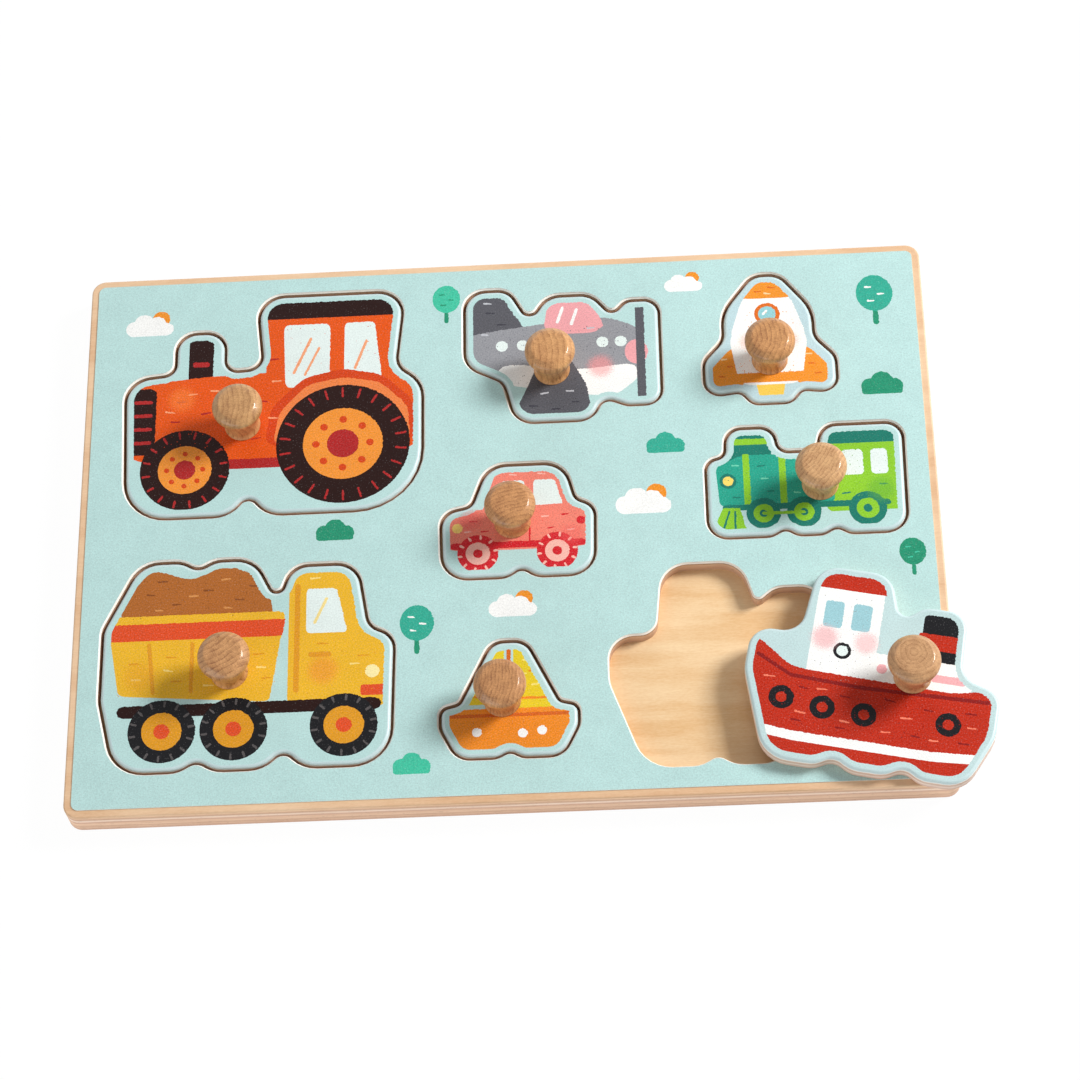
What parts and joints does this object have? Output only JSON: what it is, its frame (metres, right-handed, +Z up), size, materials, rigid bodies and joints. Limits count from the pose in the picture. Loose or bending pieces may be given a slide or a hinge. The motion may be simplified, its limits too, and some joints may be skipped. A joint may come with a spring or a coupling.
{
  "type": "peg puzzle",
  "caption": "Wooden peg puzzle tray with vehicle-shaped lift-out pieces, each with a turned wooden knob, and one piece laid beside its empty pocket.",
  "frame": {"origin": "centre of the tray's underside", "axes": "+X along the tray's long side, +Y across it away from the viewer, +Z up out of the pockets"},
  "size_m": [0.3137, 0.2119, 0.0338],
  "materials": {
    "birch_plywood": "pale birch plywood, sanded, with its plies showing on cut edges",
    "turned_beech": "turned beech under clear gloss varnish",
    "printed_sheet": "printed sheet in flat ink colours under a thin matt varnish",
    "zinc_screw": "zinc-plated"
  },
  "bodies": {
    "tray": {"back_panel": "birch_plywood", "front_panel": "birch_plywood", "front_print": "printed_sheet"},
    "tractor_piece": {"tractor_block": "birch_plywood", "tractor_print": "printed_sheet", "tractor_knob": "turned_beech", "tractor_screw": "zinc_screw"},
    "aeroplane_piece": {"aeroplane_block": "birch_plywood", "aeroplane_print": "printed_sheet", "aeroplane_knob": "turned_beech", "aeroplane_screw": "zinc_screw"},
    "rocket_piece": {"rocket_block": "birch_plywood", "rocket_print": "printed_sheet", "rocket_knob": "turned_beech", "rocket_screw": "zinc_screw"},
    "car_piece": {"car_block": "birch_plywood", "car_print": "printed_sheet", "car_knob": "turned_beech", "car_screw": "zinc_screw"},
    "locomotive_piece": {"locomotive_block": "birch_plywood", "locomotive_print": "printed_sheet", "locomotive_knob": "turned_beech", "locomotive_screw": "zinc_screw"},
    "dump_truck_piece": {"dump_truck_block": "birch_plywood", "dump_truck_print": "printed_sheet", "dump_truck_knob": "turned_beech", "dump_truck_screw": "zinc_screw"},
    "sailing_boat_piece": {"sailing_boat_block": "birch_plywood", "sailing_boat_print": "printed_sheet", "sailing_boat_knob": "turned_beech", "sailing_boat_screw": "zinc_screw"},
    "tugboat_piece": {"tugboat_block": "birch_plywood", "tugboat_print": "printed_sheet", "tugboat_knob": "turned_beech", "tugboat_screw": "zinc_screw"}
  },
  "joints": [
    {"name": "tractor_lift", "type": "slide", "parent": "tray", "child": "tractor_piece", "axis": [0, 0, 1], "range_m": [0, 0.03]},
    {"name": "aeroplane_lift", "type": "slide", "parent": "tray", "child": "aeroplane_piece", "axis": [0, 0, 1], "range_m": [0, 0.03]},
    {"name": "rocket_lift", "type": "slide", "parent": "tray", "child": "rocket_piece", "axis": [0, 0, 1], "range_m": [0, 0.03]},
    {"name": "car_lift", "type": "slide", "parent": "tray", "child": "car_piece", "axis": [0, 0, 1], "range_m": [0, 0.03]},
    {"name": "locomotive_lift", "type": "slide", "parent": "tray", "child": "locomotive_piece", "axis": [0, 0, 1], "range_m": [0, 0.03]},
    {"name": "dump_truck_lift", "type": "slide", "parent": "tray", "child": "dump_truck_piece", "axis": [0, 0, 1], "range_m": [0, 0.03]},
    {"name": "sailing_boat_lift", "type": "slide", "parent": "tray", "child": "sailing_boat_piece", "axis": [0, 0, 1], "range_m": [0, 0.03]},
    {"name": "tugboat_lift", "type": "slide", "parent": "tray", "child": "tugboat_piece", "axis": [0, 0, 1], "range_m": [0, 0.03]}
  ]
}
